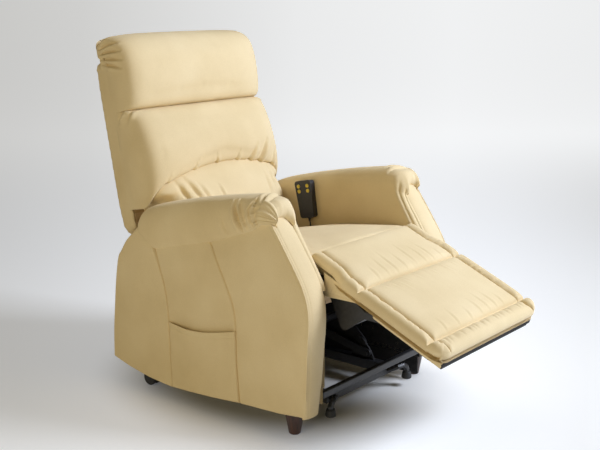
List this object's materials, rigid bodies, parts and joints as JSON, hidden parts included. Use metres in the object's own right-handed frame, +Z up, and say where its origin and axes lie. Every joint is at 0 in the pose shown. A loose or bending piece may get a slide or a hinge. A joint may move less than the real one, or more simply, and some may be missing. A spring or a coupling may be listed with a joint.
{
  "type": "riser recliner armchair",
  "caption": "Upholstered power armchair with a swing-out legrest, a reclining pillow back, a linkage base that lifts and tilts the seat, rear castors and a wired handset.",
  "frame": {"origin": "on the floor, under the middle of the footprint with the legrest out as pictured", "axes": "+Z up, -Y towards the front (legrest), +X towards the sitter's left"},
  "size_m": [0.7198, 1.2935, 1.1115],
  "materials": {
    "cream_fabric": "matte microfibre",
    "black_lining": "matte",
    "black_steel": "satin",
    "bright_steel": "zinc plated",
    "stained_wood": "dark stained, satin",
    "frame_wood": "bare",
    "black_plastic": "fine texture",
    "yellow_key": "satin",
    "black_rubber": "matte"
  },
  "bodies": {
    "lift_base": {"base_frame": "black_steel", "base_front_arm_right": "black_steel", "base_front_arm_left": "black_steel", "base_foot_front_right": "black_rubber", "base_foot_front_left": "black_rubber", "base_foot_rear_right": "black_rubber", "base_foot_rear_left": "black_rubber", "lift_drive_housing": "black_plastic"},
    "lift_arms": {"lift_arm_right": "black_steel", "lift_arm_left": "black_steel", "lift_cross_tube": "black_steel"},
    "guide_arms": {"guide_arm_right": "black_steel", "guide_arm_left": "black_steel"},
    "lift_rod": {"lift_drive_rod": "bright_steel"},
    "chassis": {"chassis_frame": "black_steel", "side_plate_right": "black_steel", "side_plate_left": "black_steel", "front_stretcher": "black_steel", "handset_cord": "black_rubber", "legrest_drive_housing": "black_plastic", "back_drive_housing": "black_plastic", "control_box": "black_plastic", "handset": "black_plastic", "seat_spring_1": "bright_steel", "seat_spring_2": "bright_steel", "seat_spring_3": "bright_steel", "side_panel_right": "cream_fabric", "side_panel_left": "cream_fabric", "pocket_panel_right": "cream_fabric", "front_band_right": "cream_fabric", "front_band_left": "cream_fabric", "arm_pad_right": "cream_fabric", "arm_pad_left": "cream_fabric", "seat_cushion": "cream_fabric", "wood_foot_right": "stained_wood", "wood_foot_left": "stained_wood", "seat_front_rail": "frame_wood", "seat_rear_rail": "frame_wood", "seat_rail_right": "frame_wood", "seat_rail_left": "frame_wood"},
    "legrest": {"legrest_frame": "black_steel", "legrest_board": "cream_fabric", "legrest_lining": "black_lining", "legrest_pad": "cream_fabric"},
    "legrest_rod": {"legrest_drive_rod": "bright_steel"},
    "backrest": {"back_tray": "cream_fabric", "back_frame": "frame_wood", "back_hinge_frame": "black_steel", "headrest_pillow": "cream_fabric", "middle_pillow": "cream_fabric", "lumbar_pillow": "cream_fabric"},
    "back_rod": {"back_drive_rod": "bright_steel"},
    "castor_right": {"castor_fork_right": "black_plastic"},
    "castor_left": {"castor_fork_left": "black_plastic"},
    "wheels_right": {"castor_wheels_right": "black_rubber"},
    "wheels_left": {"castor_wheels_left": "black_rubber"},
    "key_1": {"handset_key_1": "yellow_key"},
    "key_2": {"handset_key_2": "yellow_key"},
    "key_3": {"handset_key_3": "yellow_key"},
    "key_4": {"handset_key_4": "yellow_key"}
  },
  "joints": [
    {"name": "lift", "type": "hinge", "parent": "lift_base", "child": "lift_arms", "pos_m": [0, -0.068, 0.125], "axis": [1, 0, 0], "range_deg": [0, 55]},
    {"name": "chassis_on_lift_arms", "type": "hinge", "parent": "lift_arms", "child": "chassis", "pos_m": [0, 0.292, 0.22], "axis": [1, 0, 0], "range_deg": [-27.6, 0]},
    {"name": "guide_arm_swing", "type": "hinge", "parent": "lift_base", "child": "guide_arms", "pos_m": [0, -0.099, 0.0972], "axis": [1, 0, 0], "range_deg": [0, 61.9]},
    {"name": "lift_drive_stroke", "type": "slide", "parent": "lift_base", "child": "lift_rod", "axis": [0, -0.9397, 0.342], "range_m": [0, 0.111]},
    {"name": "legrest", "type": "hinge", "parent": "chassis", "child": "legrest", "pos_m": [0, -0.248, 0.449], "axis": [-1, 0, 0], "range_deg": [-58, 25]},
    {"name": "legrest_drive_stroke", "type": "slide", "parent": "chassis", "child": "legrest_rod", "axis": [0, -0.9863, 0.165], "range_m": [-0.1186, 0.0512]},
    {"name": "back", "type": "hinge", "parent": "chassis", "child": "backrest", "pos_m": [0, 0.407, 0.41], "axis": [-1, 0, 0], "range_deg": [-8, 27]},
    {"name": "back_drive_stroke", "type": "slide", "parent": "chassis", "child": "back_rod", "axis": [0, 1, 0], "range_m": [-0.049, 0.0146]},
    {"name": "castor_swivel_right", "type": "hinge", "parent": "chassis", "child": "castor_right", "pos_m": [-0.307, 0.407, 0.06], "axis": [0, 0, 1], "continuous": true},
    {"name": "castor_roll_right", "type": "hinge", "parent": "castor_right", "child": "wheels_right", "pos_m": [-0.307, 0.425, 0.025], "axis": [1, 0, 0], "continuous": true},
    {"name": "castor_swivel_left", "type": "hinge", "parent": "chassis", "child": "castor_left", "pos_m": [0.307, 0.407, 0.06], "axis": [0, 0, 1], "continuous": true},
    {"name": "castor_roll_left", "type": "hinge", "parent": "castor_left", "child": "wheels_left", "pos_m": [0.307, 0.425, 0.025], "axis": [1, 0, 0], "continuous": true},
    {"name": "key_press_1", "type": "slide", "parent": "chassis", "child": "key_1", "axis": [1, 0, 0], "range_m": [0, 0.0015], "stiffness_N_per_m": 400},
    {"name": "key_press_2", "type": "slide", "parent": "chassis", "child": "key_2", "axis": [1, 0, 0], "range_m": [0, 0.0015], "stiffness_N_per_m": 400},
    {"name": "key_press_3", "type": "slide", "parent": "chassis", "child": "key_3", "axis": [1, 0, 0], "range_m": [0, 0.0015], "stiffness_N_per_m": 400},
    {"name": "key_press_4", "type": "slide", "parent": "chassis", "child": "key_4", "axis": [1, 0, 0], "range_m": [0, 0.0015], "stiffness_N_per_m": 400}
  ],
  "couplings": [
    {"joint": "chassis_on_lift_arms", "follows": "lift", "ratio": -0.5},
    {"joint": "guide_arm_swing", "follows": "lift", "ratio": 1.124},
    {"joint": "lift_drive_stroke", "follows": "lift", "m_per_rad": 0.11544},
    {"joint": "legrest_drive_stroke", "follows": "legrest", "m_per_rad": 0.117},
    {"joint": "back_drive_stroke", "follows": "back", "m_per_rad": -0.10384}
  ]
}
